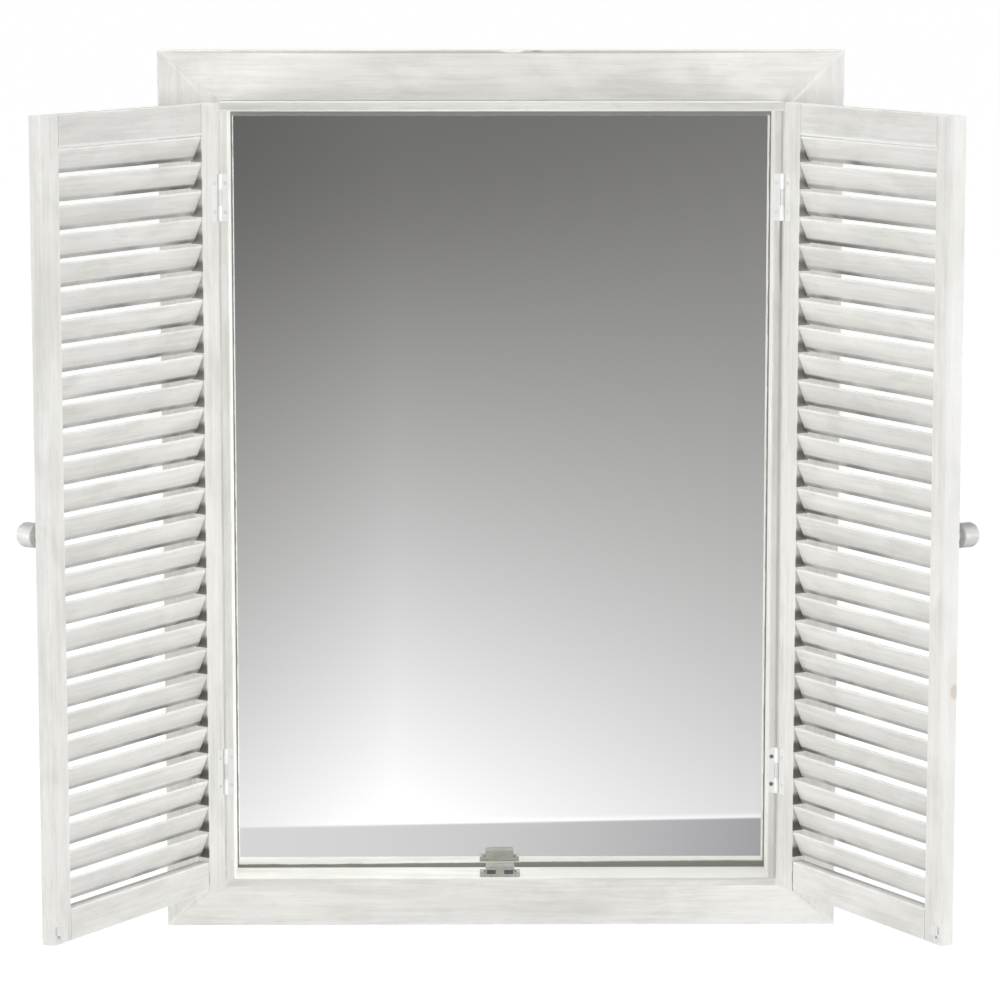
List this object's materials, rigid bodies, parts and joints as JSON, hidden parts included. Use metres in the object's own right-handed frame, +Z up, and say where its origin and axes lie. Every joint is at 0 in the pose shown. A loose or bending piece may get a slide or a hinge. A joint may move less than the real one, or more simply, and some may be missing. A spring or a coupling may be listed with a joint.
{
  "type": "shutter mirror",
  "caption": "Wall mirror in a whitewashed wooden window frame, with hinged louvred shutters that close over the glass.",
  "frame": {"origin": "on the wall plane, midway between the two keyholes in the back of the top board, 371 mm above the middle of the outer frame", "axes": "+X to the viewer's right, +Y into the wall, +Z up; the glass and the shutters face -Y"},
  "size_m": [0.8028, 0.2604, 0.784],
  "materials": {
    "whitewashed_wood": "whitewashed softwood with faint grey grain, matt",
    "raw_beech": "raw beech dowel, fluted and glued",
    "fibreboard": "thin brown hardboard, matt",
    "silvered_glass": "float glass silvered on the back",
    "white_metal": "off-white painted steel",
    "pewter": "satin pewter-grey plated metal",
    "zinc_steel": "bright zinc-plated steel",
    "dark_screw": "dark oxidised steel screws",
    "grey_plastic": "moulded grey-green plastic",
    "ferrite": "pressed ferrite magnet"
  },
  "bodies": {
    "frame": {"outer_top_rail": "whitewashed_wood", "outer_bottom_rail": "whitewashed_wood", "outer_left_stile": "whitewashed_wood", "outer_right_stile": "whitewashed_wood", "mitre_plates": "zinc_steel", "frame_brads": "zinc_steel", "box_top_rail": "whitewashed_wood", "box_bottom_rail": "whitewashed_wood", "box_left_jamb": "whitewashed_wood", "box_right_jamb": "whitewashed_wood", "box_corner_brads": "zinc_steel", "mirror_glass": "silvered_glass", "backing_panel": "fibreboard", "backing_points": "zinc_steel", "hanger_plates": "zinc_steel", "hanger_screws": "zinc_steel", "catch_housing": "grey_plastic", "catch_magnets": "ferrite", "catch_poles": "zinc_steel", "catch_screws": "zinc_steel", "left_frame_leaves": "white_metal", "right_frame_leaves": "white_metal", "left_hinge_pins": "zinc_steel", "right_hinge_pins": "zinc_steel", "frame_leaf_screws": "dark_screw"},
    "left_shutter": {"left_hinge_stile": "whitewashed_wood", "left_free_stile": "whitewashed_wood", "left_top_rail": "whitewashed_wood", "left_bottom_rail": "whitewashed_wood", "left_louvres": "whitewashed_wood", "left_rail_dowels": "raw_beech", "left_knob": "pewter", "left_knob_stud": "zinc_steel", "left_strike_plate": "white_metal", "left_strike_screw": "zinc_steel", "left_shutter_leaves": "white_metal", "left_leaf_screws": "dark_screw"},
    "right_shutter": {"right_hinge_stile": "whitewashed_wood", "right_free_stile": "whitewashed_wood", "right_top_rail": "whitewashed_wood", "right_bottom_rail": "whitewashed_wood", "right_louvres": "whitewashed_wood", "right_rail_dowels": "raw_beech", "right_knob": "pewter", "right_knob_stud": "zinc_steel", "right_strike_plate": "white_metal", "right_strike_screw": "zinc_steel", "right_shutter_leaves": "white_metal", "right_leaf_screws": "dark_screw"}
  },
  "joints": [
    {"name": "left_shutter_swing", "type": "hinge", "parent": "frame", "child": "left_shutter", "pos_m": [-0.245, -0.0494, -0.371], "axis": [0, 0, -1], "range_deg": [-123, 57]},
    {"name": "right_shutter_swing", "type": "hinge", "parent": "frame", "child": "right_shutter", "pos_m": [0.245, -0.0494, -0.371], "axis": [0, 0, 1], "range_deg": [-120, 60]}
  ]
}
